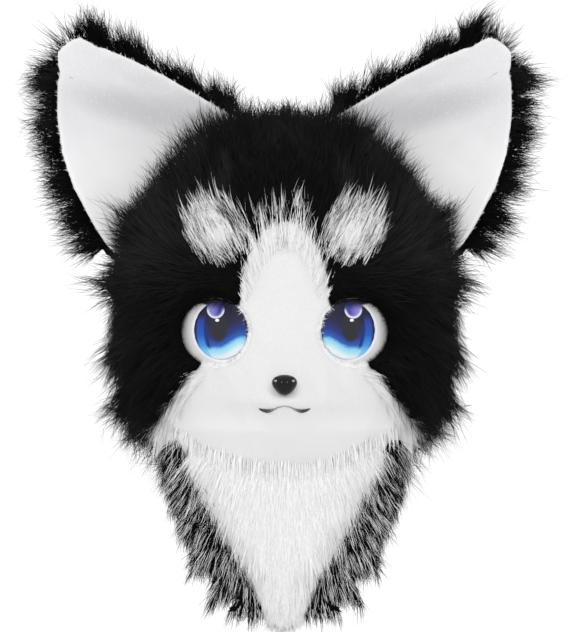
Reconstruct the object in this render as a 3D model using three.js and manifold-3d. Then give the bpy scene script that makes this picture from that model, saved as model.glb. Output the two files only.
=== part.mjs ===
// A wearable dog costume head: a hollow foam form under fake fur, with two large upright ears,
// inset eyes, a button nose, a stitched mouth and a pointed fur bib that hangs below the jaw.
// Millimetres, +Z up. The face looks along -Y. Left and right are the wearer's, so left is +X.
// The origin is the inside of the crown, where the form sits on the wearer's head.
import * as THREE from "three";
import { mergeVertices } from "three/addons/utils/BufferGeometryUtils.js";
import Module from "manifold-3d";

const wasm = await Module();
wasm.setup();

// Gap between pieces that touch
const seam = 0.3;

// Foam form
const foamWall = 22;
const headHeight = 274;
const headHalfWidth = 121;
const faceDepth = 124;
const napeDepth = 143;
const centreDrop = 138; // from the top of the foam to the middle of the form
const neckHalfWidth = 78;
const neckHalfDepth = 98;
const neckSetback = 14; // how far the neck opening's middle lies behind the form's

// Muzzle
const muzzleReach = 31;
const muzzleHalfWidth = 50;
const muzzleHalfHeight = 36;
const muzzleDrop = 190;
const muzzleFade = 1.8; // how sharply the muzzle falls off at its edge

// Fur, measured from the foam to the top of the nap
const hoodNap = 12;
const faceNap = 6;
const lockSink = 3; // how deep a lock's root sits in the nap

// White face panel
const panelHalfWidth = 109;
const panelHeight = 200;
const blazeDrop = 55;
const panelSetback = -12; // the panel covers the form forward of this

// White spots over the eyes
const spotHalfWidth = 13;
const spotHalfHeight = 17;
const spotOffset = 50.5;
const spotDrop = 66;
const spotTilt = 40; // degrees

// Eyes
const eyeOffset = 53;
const eyeDrop = 139.5;
const eyeHalfWidth = 27;
const eyeHalfHeight = 26;
const eyeThickness = 5;
const eyeProud = 2.5; // how far the white of the eye stands out of the foam
const irisOffset = 48.5;
const irisDrop = 138;
const irisHalfWidth = 21;
const irisHalfHeight = 22.5;
const irisThickness = 2;

// Nose and mouth
const noseHalfWidth = 9.7;
const noseHalfHeight = 7.3;
const noseProud = 8;
const noseDrop = 179;
const noseTaper = 0.28; // how much narrower the nose is below
const noseShoulder = 0.3; // the height, as a share, where the nose has its full half width
const mouthHalfWidth = 19.7;
const mouthDrop = 198;
const mouthRise = 3.2; // the lip's peak above the corners
const mouthThickness = 2.8;
const mouthProud = 0.8;
const mouthDepth = 4;

// Ears
const earLength = 152;
const earHalfWidth = 81;
const earThickness = 18;
const earDish = 32;
const earSetback = 14; // the rim's distance behind the form's middle
const earLean = 8; // how far the tip leans back
const earSplay = 36; // degrees from upright
const earBaseOffset = 82;
const earBaseDrop = 31;
const earRimInner = 6;
const earRimOuter = 8;
const plushThickness = 3;
const plushFrom = 0.8; // the row of earSections where the plush begins
const plushEnd = 1.2; // rows short of the tip
const plushReach = 0.85; // share of the ear's half that the plush's edge follows
const earRounding = 0.3; // how bluntly the ear's thickness ends at its rim

// Bib
const bibLap = 30; // how far above the form's foot the bib begins
const bibLength = 145;
const bibHalfWidth = 92;
const bibRound = 113; // half width of the oval that the bib bends round
const bibStandoff = 98; // half depth of that oval
const bibLean = 10; // how far the tip hangs back
const bibNap = 12;
const backingThickness = 3;
const bibEdge = 0.7; // the white fur's thickness at its edges, as a share
const bandEdge = 0.5; // the same for a black band
const leastBend = 0.05; // keeps the bib's bend real beyond the oval's sides

// Locks of fur
const hoodLockLength = 42;
const hoodLockWidth = 26;
const napeLockLength = 46;
const napeLockWidth = 26;
const earLockLength = 30;
const earLockWidth = 22;
const bibLockLength = 34;
const bibLockWidth = 20;
const lockFlatness = 0.4; // a lock's thickness as a share of its width
const lockKnee = 0.77; // a lock's width halfway along, as a share of its root's
const lockVariation = 0.3; // how much locks differ in length
const lockLift = 0.3; // how steeply a lock leaves the nap
const lockLay = 0.1; // how steeply its tip stands
const combDown = 1.6; // how strongly the fur falls at the sides and nape
const combStart = 0.4; // share of faceDepth in front of the middle where it begins to fall
const combEnd = 0.7; // share of napeDepth behind the middle where it falls fully
const panelMargin = 0.4; // locks keep this share of their width from the face panel
const eyeMargin = 0.5; // and this share from the eyes and spots

// Locks at the nape: their turn from the face as shares of a half turn, and the row of their roots
// above the last row of headSections
const napeLockCount = 9;
const napeFrom = 0.64;
const napeTo = 1.36;
const napeRows = 4.9;
const napeLift = 0.12;

// Locks on an ear: rows of earSections, and how far a rim lock leans along the ear
const rimLockCount = 6;
const rimLockFrom = 3.2;
const rimLockEnd = 0.5; // rows short of the tip
const innerLocksFrom = 4; // the inner rim is bare below this row
const rimLean = 0.9;
const rimTurn = 0.4; // how much of that lean a lock loses halfway
const backLockRows = [5, 6.8, 8.4];
const backLockAcross = [-0.4, 0.4];

// Rows and shares of the half width where the bib's locks grow
const whiteLocks = [
  { rows: [4.2], shares: [-0.22, 0.22] },
  { rows: [6], shares: [0] },
];
const bandLocks = { rows: [1.8, 3.1, 4.4, 5.6, 6.8, 7.8], share: 0.8 };
const bibLockFan = 0.7; // how far a lock points outwards at the bib's edge
const bibLockFall = 0.9; // and downwards at its root

// Faces round or along a form
const formRows = 14;
const formTurns = 24;
const formCrowding = 0.34; // turns lie closer together over the face
const panelFaces = 24;
const eyeFaces = 20;
const spotFaces = 14;
const mouthFaces = 8;
const earRows = 12;
const earFaces = 6;
const plushRows = 9;
const plushFaces = 5;
const bibRows = 8;
const bibFaces = 6;
const bandFaces = 3;
const backingFaces = 8;
const noseFaces = 14;
const neckFaces = 40;

const headCentre = new THREE.Vector3(0, 0, foamWall - centreDrop);
const bibTop = foamWall - headHeight + bibLap;

// Level sections of the foam: level is a share of headHeight below the top, side of headHalfWidth,
// front of faceDepth and back of napeDepth.
const headSections = [
  { level: 0, side: 0, front: 0, back: 0 },
  { level: 0.011, side: 0.186, front: 0.18, back: 0.17 },
  { level: 0.044, side: 0.362, front: 0.37, back: 0.35 },
  { level: 0.095, side: 0.51, front: 0.56, back: 0.5 },
  { level: 0.142, side: 0.62, front: 0.7, back: 0.62 },
  { level: 0.212, side: 0.777, front: 0.85, back: 0.77 },
  { level: 0.252, side: 0.87, front: 0.91, back: 0.84 },
  { level: 0.328, side: 0.965, front: 0.965, back: 0.93 },
  { level: 0.45, side: 1.0, front: 0.99, back: 0.99 },
  { level: 0.58, side: 0.99, front: 1.0, back: 0.985 },
  { level: 0.7, side: 0.955, front: 1.0, back: 0.9 },
  { level: 0.79, side: 0.925, front: 1.0, back: 0.8 },
  { level: 0.865, side: 0.83, front: 0.99, back: 0.7 },
  { level: 0.93, side: 0.68, front: 0.915, back: 0.62 },
  { level: 0.975, side: 0.53, front: 0.79, back: 0.52 },
  { level: 1.0, side: 0.4, front: 0.58, back: 0.38 },
];

// Half of the face panel's edge from the blaze down past the jaw: across is a share of
// panelHalfWidth and drop of panelHeight below the blaze's top.
const panelEdge = [
  { across: 0, drop: 0 },
  { across: 0.098, drop: 0.03 },
  { across: 0.2, drop: 0.09 },
  { across: 0.251, drop: 0.155 },
  { across: 0.286, drop: 0.23 },
  { across: 0.315, drop: 0.31 },
  { across: 0.42, drop: 0.43 },
  { across: 0.597, drop: 0.55 },
  { across: 0.749, drop: 0.65 },
  { across: 0.84, drop: 0.72 },
  { across: 0.917, drop: 0.78 },
  { across: 0.98, drop: 0.84 },
  { across: 1.0, drop: 1.1 },
];

// Sections of an ear: along is a share of earLength from its base, inner and outer of earHalfWidth,
// and dish of earDish.
const earSections = [
  { along: -0.34, inner: -0.35, outer: 0.3, dish: 1.0 },
  { along: -0.22, inner: -0.8, outer: 0.72, dish: 1.0 },
  { along: -0.08, inner: -0.98, outer: 0.97, dish: 1.0 },
  { along: 0.06, inner: -1.0, outer: 0.98, dish: 1.0 },
  { along: 0.15, inner: -0.985, outer: 0.97, dish: 0.97 },
  { along: 0.26, inner: -0.87, outer: 0.945, dish: 0.9 },
  { along: 0.41, inner: -0.755, outer: 0.9, dish: 0.8 },
  { along: 0.6, inner: -0.6, outer: 0.773, dish: 0.62 },
  { along: 0.775, inner: -0.42, outer: 0.58, dish: 0.42 },
  { along: 0.8875, inner: -0.29, outer: 0.41, dish: 0.28 },
  { along: 0.965, inner: -0.15, outer: 0.24, dish: 0.15 },
  { along: 1.0, inner: 0.0, outer: 0.09, dish: 0.05 },
];

// Sections of the bib: drop is a share of bibLength below its top, and half and white are shares of
// bibHalfWidth for the whole bib and for its white middle.
const bibSections = [
  { drop: 0, half: 1.02, white: 0.86 },
  { drop: 0.12, half: 1.04, white: 0.8 },
  { drop: 0.25, half: 1.0, white: 0.69 },
  { drop: 0.37, half: 0.93, white: 0.58 },
  { drop: 0.5, half: 0.84, white: 0.45 },
  { drop: 0.64, half: 0.7, white: 0.33 },
  { drop: 0.78, half: 0.52, white: 0.23 },
  { drop: 0.89, half: 0.37, white: 0.2 },
  { drop: 0.95, half: 0.25, white: 0.17 },
  { drop: 1.0, half: 0.13, white: 0.08 },
];

// Half of the mouth line from its middle to a corner: across is a share of mouthHalfWidth, rise of
// mouthRise and thick of mouthThickness.
const mouthLine = [
  { across: 0, rise: 1.0, thick: 0.3 },
  { across: 0.2, rise: 0.75, thick: 0.35 },
  { across: 0.42, rise: 0.1, thick: 0.6 },
  { across: 0.65, rise: -0.3, thick: 1.0 },
  { across: 0.88, rise: 0.0, thick: 0.7 },
  { across: 1.0, rise: 0.35, thick: 0.2 },
];

// Rings of locks round the hood: row is a place in headSections and count the locks in a full ring.
const hoodLockRings = [
  { row: 3.8, count: 8 },
  { row: 5.6, count: 10 },
  { row: 7.2, count: 12 },
  { row: 8.3, count: 12 },
  { row: 9.5, count: 12 },
  { row: 10.8, count: 12 },
];

// A smooth function of a table's row number that returns its columns.
function smoothRows(rows) {
  const columns = Object.keys(rows[0]);
  const spline = new THREE.CubicInterpolant(
    rows.map((row, i) => i),
    rows.flatMap((row) => columns.map((name) => row[name])),
    columns.length,
    new Float64Array(columns.length),
  );
  const read = (i) => {
    const values = spline.evaluate(i);
    return Object.fromEntries(columns.map((name, c) => [name, values[c]]));
  };
  read.last = rows.length - 1;
  return read;
}

const headAt = smoothRows(headSections);
const earAt = smoothRows(earSections);
const bibAt = smoothRows(bibSections);
const mouthAt = smoothRows(mouthLine);

// A closed solid of a geometry, whichever way its faces point.
function solidOf(geometry) {
  const bare = geometry.clone();
  bare.deleteAttribute("normal");
  bare.deleteAttribute("uv");
  const merged = mergeVertices(bare, 1e-4);
  const vertProperties = new Float32Array(merged.attributes.position.array);
  const triVerts = new Uint32Array(merged.index.array);
  const make = () => new wasm.Manifold(new wasm.Mesh({ numProp: 3, vertProperties, triVerts }));
  const made = make();
  if (made.volume() > 0) {
    return made;
  }
  for (let i = 0; i < triVerts.length; i += 3) {
    [triVerts[i + 1], triVerts[i + 2]] = [triVerts[i + 2], triVerts[i + 1]];
  }
  return make();
}

// The largest body of a solid: a tuft that a neighbour cuts through loses its loose tip.
function mainBody(solid) {
  return solid.decompose().reduce((a, b) => (a.volume() > b.volume() ? a : b));
}

function unite(solids) {
  return wasm.Manifold.union(solids);
}

function bothSides(make) {
  return [1, -1].map(make);
}

// A closed solid lofted through rings of equally many points, each end closed round its middle.
function loft(rings) {
  const count = rings[0].length;
  const points = rings.flat();
  const faces = [];
  for (let r = 0; r + 1 < rings.length; r += 1) {
    for (let i = 0; i < count; i += 1) {
      const a = r * count + i;
      const b = r * count + ((i + 1) % count);
      faces.push(a, b, b + count, a, b + count, a + count);
    }
  }
  [0, rings.length - 1].forEach((r) => {
    const middle = new THREE.Vector3();
    rings[r].forEach((p) => middle.addScaledVector(p, 1 / count));
    points.push(middle);
    for (let i = 0; i < count; i += 1) {
      const a = r * count + i;
      const b = r * count + ((i + 1) % count);
      faces.push(points.length - 1, r ? a : b, r ? b : a);
    }
  });
  const geometry = new THREE.BufferGeometry().setFromPoints(points);
  geometry.setIndex(faces);
  return solidOf(geometry);
}

// The point of the head's form at a turn from the face and a row of its table, grown outwards.
function headPoint(turn, row, grow) {
  const at = headAt(row);
  const forward = Math.cos(turn);
  const depth = forward > 0 ? at.front * faceDepth : at.back * napeDepth;
  const point = new THREE.Vector3(
    Math.sin(turn) * at.side * headHalfWidth,
    -forward * depth,
    foamWall - at.level * headHeight,
  );
  const ray = point.clone().sub(headCentre).normalize();
  point.addScaledVector(ray, grow);
  if (forward > 0) {
    const u = point.x / muzzleHalfWidth;
    const v = (point.z + muzzleDrop) / muzzleHalfHeight;
    point.y -= muzzleReach * Math.exp(-muzzleFade * (u * u + v * v));
  }
  return point;
}

// The whole head form as a closed solid, grown outwards from the foam's surface.
function form(grow) {
  const rows = formRows;
  const turns = formTurns;
  const points = [headPoint(0, 0, grow)];
  for (let r = 1; r <= rows; r += 1) {
    for (let i = 0; i < turns; i += 1) {
      const even = (2 * Math.PI * (i + 0.5)) / turns;
      points.push(headPoint(even - formCrowding * Math.sin(even), (headAt.last * r) / rows, grow));
    }
  }
  points.push(new THREE.Vector3(0, 0, points.at(-1).z));
  const faces = [];
  for (let i = 0; i < turns; i += 1) {
    const next = (i + 1) % turns;
    faces.push(0, 1 + next, 1 + i);
    for (let r = 0; r + 1 < rows; r += 1) {
      const a = 1 + r * turns + i;
      const b = 1 + r * turns + next;
      faces.push(a, b, b + turns, a, b + turns, a + turns);
    }
    const foot = 1 + (rows - 1) * turns;
    faces.push(points.length - 1, foot + i, foot + next);
  }
  const geometry = new THREE.BufferGeometry().setFromPoints(points);
  geometry.setIndex(faces);
  return solidOf(geometry);
}

function headNormal(turn, row) {
  const step = 0.02;
  const p = headPoint(turn, row, 0);
  const a = headPoint(turn + step, row, 0).sub(p);
  const b = headPoint(turn, row + step, 0).sub(p);
  const normal = a.cross(b).normalize();
  return normal.dot(p.clone().sub(headCentre)) < 0 ? normal.negate() : normal;
}

// A closed outline of points moved outwards by an amount.
function grownOutline(outline, amount) {
  const away = THREE.ShapeUtils.isClockWise(outline) ? -amount : amount;
  return outline.map((p, i) => {
    const before = outline[(i + outline.length - 1) % outline.length];
    const after = outline[(i + 1) % outline.length];
    const along = after.clone().sub(before).normalize();
    return new THREE.Vector2(p.x + along.y * away, p.y - along.x * away);
  });
}

// A block with an outline seen from the front, that reaches forward from a setback.
function frontBlock(outline, setback) {
  const geometry = new THREE.ExtrudeGeometry(new THREE.Shape(outline), {
    depth: faceDepth * 2,
    bevelEnabled: false,
  });
  geometry.rotateX(Math.PI / 2).translate(0, setback, 0);
  return solidOf(geometry);
}

function ovalOutline(x, z, halfWidth, halfHeight, tilt, count) {
  const points = [];
  for (let i = 0; i < count; i += 1) {
    const turn = (2 * Math.PI * i) / count;
    const p = new THREE.Vector2(halfWidth * Math.cos(turn), halfHeight * Math.sin(turn));
    p.rotateAround(new THREE.Vector2(), tilt);
    points.push(p.add(new THREE.Vector2(x, z)));
  }
  return points;
}

function panelOutline() {
  const edge = panelEdge.map(
    (p) => new THREE.Vector2(p.across * panelHalfWidth, -blazeDrop - p.drop * panelHeight),
  );
  const half = new THREE.SplineCurve(edge).getPoints(panelFaces);
  const mirrored = half.slice(1).map((p) => new THREE.Vector2(-p.x, p.y)).reverse();
  return [...mirrored, ...half];
}

function eyeOutline(side, grow) {
  return ovalOutline(side * eyeOffset, -eyeDrop, eyeHalfWidth + grow, eyeHalfHeight + grow, 0, eyeFaces);
}

function irisOutline(side) {
  return ovalOutline(side * irisOffset, -irisDrop, irisHalfWidth, irisHalfHeight, 0, eyeFaces);
}

function spotOutline(side, grow) {
  const tilt = THREE.MathUtils.degToRad(-side * spotTilt);
  const halves = [spotHalfWidth + grow, spotHalfHeight + grow];
  return ovalOutline(side * spotOffset, -spotDrop, ...halves, tilt, spotFaces);
}

function mouthOutline(grow) {
  const steps = mouthFaces;
  const upper = [];
  const lower = [];
  for (let i = -steps; i <= steps; i += 1) {
    const share = Math.abs(i) / steps;
    const at = mouthAt(share * mouthAt.last);
    const x = Math.sign(i) * (at.across * mouthHalfWidth + grow * share);
    const z = at.rise * mouthRise - mouthDrop;
    const half = (at.thick * mouthThickness) / 2 + grow;
    upper.push(new THREE.Vector2(x, z + half));
    lower.push(new THREE.Vector2(x, z - half));
  }
  return [...upper, ...lower.reverse()];
}

// A lock of fur: a leaf with a ridge that lies flat against a surface and bends halfway along.
function lock(root, start, end, flat, length, width) {
  const first = start.clone().normalize();
  const second = end.clone().normalize();
  const across = first.clone().cross(flat).normalize();
  const up = across.clone().cross(first);
  const knee = root.clone().addScaledVector(first, length / 2);
  const tip = knee.clone().addScaledVector(second, length / 2);
  const points = [];
  [[root, width / 2], [knee, (width / 2) * lockKnee]].forEach(([middle, half]) => {
    points.push(middle.clone().addScaledVector(across, half));
    points.push(middle.clone().addScaledVector(across, -half));
    points.push(middle.clone().addScaledVector(up, 2 * half * lockFlatness));
  });
  points.push(tip);
  const faces = [0, 2, 1];
  for (let i = 0; i < 3; i += 1) {
    const next = (i + 1) % 3;
    faces.push(i, next, next + 3, i, next + 3, i + 3, i + 3, next + 3, 6);
  }
  const geometry = new THREE.BufferGeometry().setFromPoints(points);
  geometry.setIndex(faces);
  return solidOf(geometry);
}

// A share of about 1 that differs from lock to lock.
function uneven(i) {
  return 1 + lockVariation * (Math.abs(Math.sin(i * Math.E)) - 0.5);
}

function inOutline(outline, x, z) {
  let inside = false;
  outline.forEach((p, i) => {
    const q = outline[(i + 1) % outline.length];
    if (p.y > z !== q.y > z && x < ((q.x - p.x) * (z - p.y)) / (q.y - p.y) + p.x) {
      inside = !inside;
    }
  });
  return inside;
}

// Whether a root on the hood lies where an ear meets it.
function nearEar(point) {
  const x = Math.abs(point.x) - earBaseOffset;
  const z = point.z + earBaseDrop;
  const splay = THREE.MathUtils.degToRad(earSplay);
  const across = x * Math.cos(splay) - z * Math.sin(splay);
  const clear = hoodLockWidth / 2;
  const front = earSetback - earThickness / 2 - clear;
  const back = earSetback + earDish + earThickness / 2 + clear;
  const beside = Math.abs(across) < earHalfWidth + clear;
  return beside && point.y > front && point.y < back && point.z > -earBaseDrop - earHalfWidth;
}

// The way fur is combed on the hood: away from the nose, and down at the sides and nape.
function combing(point, normal) {
  const away = point.clone().sub(new THREE.Vector3(0, -faceDepth, -noseDrop)).normalize();
  away.z -= combDown * THREE.MathUtils.smoothstep(point.y, -faceDepth * combStart, napeDepth * combEnd);
  return away.addScaledVector(normal, -away.dot(normal)).normalize();
}

function hoodLocks() {
  const locks = [];
  const panel = grownOutline(panelOutline(), hoodLockWidth * panelMargin);
  const spots = bothSides((side) => spotOutline(side, hoodLockWidth * eyeMargin));
  const eyes = bothSides((side) => eyeOutline(side, hoodLockWidth * eyeMargin));
  const bare = [panel, ...spots, ...eyes];
  hoodLockRings.forEach(({ row, count }, r) => {
    for (let i = 0; i < count; i += 1) {
      const turn = (2 * Math.PI * (i + (r % 2 ? 0.5 : 0))) / count;
      const root = headPoint(turn, row, hoodNap - lockSink);
      const onFace = root.y < 0 && bare.some((outline) => inOutline(outline, root.x, root.z));
      if (!nearEar(root) && !onFace) {
        const normal = headNormal(turn, row);
        const comb = combing(root, normal);
        const start = comb.clone().addScaledVector(normal, lockLift);
        const end = comb.clone().addScaledVector(normal, lockLay);
        const length = hoodLockLength * uneven(i + r);
        locks.push(lock(root, start, end, normal, length, hoodLockWidth));
      }
    }
  });
  return locks;
}

// Long locks that hang from the hood's lower edge behind the neck.
function napeLocks() {
  const locks = [];
  for (let i = 0; i < napeLockCount; i += 1) {
    const turn = Math.PI * THREE.MathUtils.lerp(napeFrom, napeTo, i / (napeLockCount - 1));
    const root = headPoint(turn, headAt.last - napeRows, hoodNap - lockSink);
    const out = new THREE.Vector3(root.x, root.y, 0).normalize();
    const start = new THREE.Vector3(0, 0, -1).addScaledVector(out, napeLift);
    const end = new THREE.Vector3(0, 0, -1).addScaledVector(out, -lockLay);
    locks.push(lock(root, start, end, out, napeLockLength * uneven(i), napeLockWidth));
  }
  return locks;
}

// A point of an ear: row of its table, across from -1 at the inner rim to 1 at the outer rim, depth
// behind its middle surface, and how far inside the rims those ends lie.
function earPoint(side, row, across, depth, insetInner, insetOuter) {
  const at = earAt(row);
  const inner = at.inner * earHalfWidth;
  const outer = at.outer * earHalfWidth;
  const u = THREE.MathUtils.lerp(inner + insetInner, outer - insetOuter, (across + 1) / 2);
  const full = (2 * u - inner - outer) / (outer - inner);
  const v = at.along * earLength;
  const splay = THREE.MathUtils.degToRad(earSplay);
  const bow = at.dish * earDish * (1 - full * full);
  return new THREE.Vector3(
    side * (earBaseOffset + v * Math.sin(splay) + u * Math.cos(splay)),
    earSetback + bow + earLean * at.along + depth,
    -earBaseDrop + v * Math.cos(splay) - u * Math.sin(splay),
  );
}

// Half the ear's thickness at a place across.
function earHalf(across) {
  return (earThickness / 2) * Math.max(0, 1 - across * across) ** earRounding;
}

function earForm(side, grow) {
  const rows = earRows;
  const half = earFaces;
  const rings = [];
  for (let r = 0; r <= rows; r += 1) {
    const row = (earAt.last * r) / rows;
    const ring = [];
    for (let i = 0; i < 2 * half; i += 1) {
      const across = Math.cos((Math.PI * i) / half);
      const face = i % half ? Math.sign(half - i) : 0;
      ring.push(earPoint(side, row, across, face * (earHalf(across) + grow), -grow, -grow));
    }
    rings.push(ring);
  }
  return loft(rings);
}

function earPlush(side) {
  const rows = plushRows;
  const steps = plushFaces;
  const rings = [];
  for (let r = 0; r <= rows; r += 1) {
    const row = THREE.MathUtils.lerp(plushFrom, earAt.last - plushEnd, r / rows);
    const front = [];
    const back = [];
    for (let i = 0; i <= steps; i += 1) {
      const across = (2 * i) / steps - 1;
      const skin = -earHalf(across * plushReach);
      front.push(earPoint(side, row, across, skin - plushThickness, earRimInner, earRimOuter));
      back.push(earPoint(side, row, across, skin + plushThickness, earRimInner, earRimOuter));
    }
    rings.push([...front, ...back.reverse()]);
  }
  return loft(rings);
}

function earLocks(side) {
  const locks = [];
  const splay = THREE.MathUtils.degToRad(earSplay);
  const up = new THREE.Vector3(side * Math.sin(splay), 0, Math.cos(splay));
  const out = new THREE.Vector3(side * Math.cos(splay), 0, -Math.sin(splay));
  const back = new THREE.Vector3(0, 1, 0);
  for (let i = 0; i < rimLockCount; i += 1) {
    const row = THREE.MathUtils.lerp(rimLockFrom, earAt.last - rimLockEnd, i / (rimLockCount - 1));
    const length = earLockLength * uneven(i);
    const outerRoot = earPoint(side, row, 1, 0, earLockLength / 3, earLockLength / 3);
    const rise = (rimLean * i) / rimLockCount;
    const outerStart = out.clone().addScaledVector(up, rise);
    const outerEnd = out.clone().addScaledVector(up, rise - rimTurn);
    locks.push(lock(outerRoot, outerStart, outerEnd, back, length, earLockWidth));
    if (row > innerLocksFrom) {
      const innerRoot = earPoint(side, row, -1, 0, earLockLength / 3, earLockLength / 3);
      const innerStart = up.clone().addScaledVector(out, -rimLean);
      const innerEnd = up.clone().addScaledVector(out, -rimTurn);
      locks.push(lock(innerRoot, innerStart, innerEnd, back, length, earLockWidth));
    }
  }
  backLockRows.forEach((row, r) => {
    backLockAcross.forEach((across, c) => {
      const root = earPoint(side, row, across, earHalf(across) - lockSink, 0, 0);
      const comb = up.clone().addScaledVector(out, across / 2);
      const start = comb.clone().addScaledVector(back, lockLift);
      locks.push(lock(root, start, comb, back, earLockLength * uneven(r + c), earLockWidth));
    });
  });
  return locks;
}

// A point on the bib at a distance from its middle line, a row of its table and a height off the
// front of its backing.
function bibPoint(x, row, height) {
  const at = bibAt(row);
  const bend = bibStandoff * Math.sqrt(Math.max(leastBend, 1 - (x / bibRound) ** 2));
  return new THREE.Vector3(x, -bend + bibLean * at.drop - height, bibTop - at.drop * bibLength);
}

// A strip of the bib between two edges that depend on the row. The share says how much of its
// thickness is left at its edges.
function bibStrip(from, to, low, high, edgeShare, steps) {
  const rows = bibRows;
  const rings = [];
  for (let r = 0; r <= rows; r += 1) {
    const row = (bibAt.last * r) / rows;
    const front = [];
    const back = [];
    for (let i = 0; i <= steps; i += 1) {
      const x = THREE.MathUtils.lerp(from(row), to(row), i / steps);
      const swell = edgeShare + (1 - edgeShare) * Math.sqrt(Math.sin((Math.PI * i) / steps));
      front.push(bibPoint(x, row, THREE.MathUtils.lerp(low, high, swell)));
      back.push(bibPoint(x, row, low));
    }
    rings.push([...front, ...back.reverse()]);
  }
  return loft(rings);
}

const bibHalf = (row) => bibAt(row).half * bibHalfWidth;
const bibWhite = (row) => bibAt(row).white * bibHalfWidth;

// Locks on the bib: rings of places down it, each with shares of its half width.
function bibLocks({ rows, shares }) {
  const front = new THREE.Vector3(0, -1, 0);
  return rows.flatMap((row, r) =>
    shares.map((share, i) => {
      const root = bibPoint(share * bibHalf(row), row, bibNap / 2);
      const start = new THREE.Vector3(bibLockFan * share, -lockLift, -bibLockFall);
      const end = new THREE.Vector3(bibLockFan * share, 0, -1);
      return lock(root, start, end, front, bibLockLength * uneven(r + i), bibLockWidth);
    }),
  );
}

// The nose: a ball drawn out sideways and narrowed below, on the front of the muzzle.
function noseBall() {
  const ball = new THREE.SphereGeometry(1, noseFaces, noseFaces - 5);
  const place = ball.attributes.position;
  const noseSearch = 0.05; // rows between tries for the front's height
  let front = headCentre;
  for (let row = 0; row <= headAt.last; row += noseSearch) {
    const p = headPoint(0, row, faceNap);
    front = Math.abs(p.z + noseDrop) < Math.abs(front.z + noseDrop) ? p : front;
  }
  for (let i = 0; i < place.count; i += 1) {
    const up = place.getY(i);
    const wide = 1 + noseTaper * (up - noseShoulder);
    const x = place.getX(i) * noseHalfWidth * wide;
    place.setXYZ(i, x, front.y + place.getZ(i) * noseProud, up * noseHalfHeight - noseDrop);
  }
  return solidOf(ball);
}

const neck = solidOf(
  new THREE.CylinderGeometry(1, 1, headHeight, neckFaces)
    .rotateX(Math.PI / 2)
    .scale(neckHalfWidth, neckHalfDepth, 1)
    .translate(0, neckSetback, foamWall - headHeight),
);
const skin = form(seam);
const hoodSkin = form(hoodNap);
const overHood = unite([form(hoodNap + seam), neck]);

const eyeWindows = unite(bothSides((side) => frontBlock(eyeOutline(side, seam), panelSetback)));
const panelBlock = frontBlock(panelOutline(), panelSetback);
const panelRoom = frontBlock(grownOutline(panelOutline(), seam), panelSetback + seam);
const overFace = unite([form(faceNap + seam), overHood.subtract(panelBlock), neck]);
const spotRoom = unite(bothSides((side) => frontBlock(spotOutline(side, seam), panelSetback)));
const earRoom = unite(bothSides((side) => earForm(side, seam + plushThickness)));
const bibRoom = bibStrip(
  (row) => -bibHalf(row) - bibLockWidth,
  (row) => bibHalf(row) + bibLockWidth,
  -backingThickness - seam,
  bibNap + bibLockWidth,
  1,
  backingFaces,
);

// Foam form, with its cavity, neck opening and eye windows
const base = form(0).subtract(unite([form(-foamWall), neck, eyeWindows]));

// Black fur over the form
const tufts = unite([...hoodLocks(), ...napeLocks()]).subtract(unite([earRoom, bibRoom]));
const hood = unite([hoodSkin, tufts])
  .subtract(unite([skin, neck, panelRoom, spotRoom, eyeWindows]));

// White fur of the face, with the mouth's groove
const groove = frontBlock(mouthOutline(seam), panelSetback).subtract(form(faceNap - mouthDepth));
const face = form(faceNap).subtract(unite([skin, neck, eyeWindows, groove])).intersect(panelBlock);
const mouth = form(faceNap + mouthProud)
  .subtract(form(faceNap - mouthDepth + seam))
  .intersect(frontBlock(mouthOutline(0), panelSetback));
const nose = noseBall().subtract(form(faceNap + seam));

const [spotLeft, spotRight] = bothSides((side) =>
  hoodSkin
    .subtract(unite([skin, panelRoom]))
    .intersect(frontBlock(spotOutline(side, 0), panelSetback)),
);

// Eyes
const white = form(eyeProud).subtract(form(eyeProud - eyeThickness));
const [whiteLeft, whiteRight] = bothSides((side) =>
  white.intersect(frontBlock(eyeOutline(side, 0), panelSetback)),
);
const iris = form(eyeProud + seam + irisThickness).subtract(form(eyeProud + seam));
const [irisLeft, irisRight] = bothSides((side) =>
  iris
    .intersect(frontBlock(irisOutline(side), panelSetback))
    .intersect(frontBlock(eyeOutline(side, -seam), panelSetback)),
);

// Ears
const [earLeft, earRight] = bothSides((side) =>
  unite([earForm(side, 0), ...earLocks(side)]).subtract(overHood),
);
const [plushLeft, plushRight] = bothSides((side) =>
  earPlush(side).subtract(unite([overHood, earForm(side, seam)])),
);

// Bib
const backing = bibStrip((row) => -bibHalf(row), bibHalf, -backingThickness, 0, 1, backingFaces);
const backingRoom = bibStrip(
  (row) => -bibHalf(row) - seam,
  (row) => bibHalf(row) + seam,
  -backingThickness - bibNap,
  seam,
  1,
  backingFaces,
);
const overMiddle = (room) =>
  bibStrip(
    (row) => -bibWhite(row) - room,
    (row) => bibWhite(row) + room,
    -bibNap,
    bibNap + bibLockLength,
    1,
    bibFaces,
  );
const bib = unite([
  bibStrip((row) => -bibWhite(row), bibWhite, 0, bibNap, bibEdge, bibFaces),
  ...whiteLocks.flatMap(bibLocks),
])
  .intersect(overMiddle(0))
  .subtract(backingRoom);
const bibCuts = unite([overMiddle(seam), backingRoom]);
const [bandLeft, bandRight] = bothSides((side) =>
  unite([
    bibStrip(
      (row) => side * bibWhite(row),
      (row) => side * bibHalf(row),
      0,
      bibNap,
      bandEdge,
      bandFaces,
    ),
    ...bibLocks({ rows: bandLocks.rows, shares: [bandLocks.share * side] }),
  ]).subtract(bibCuts),
);

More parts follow.
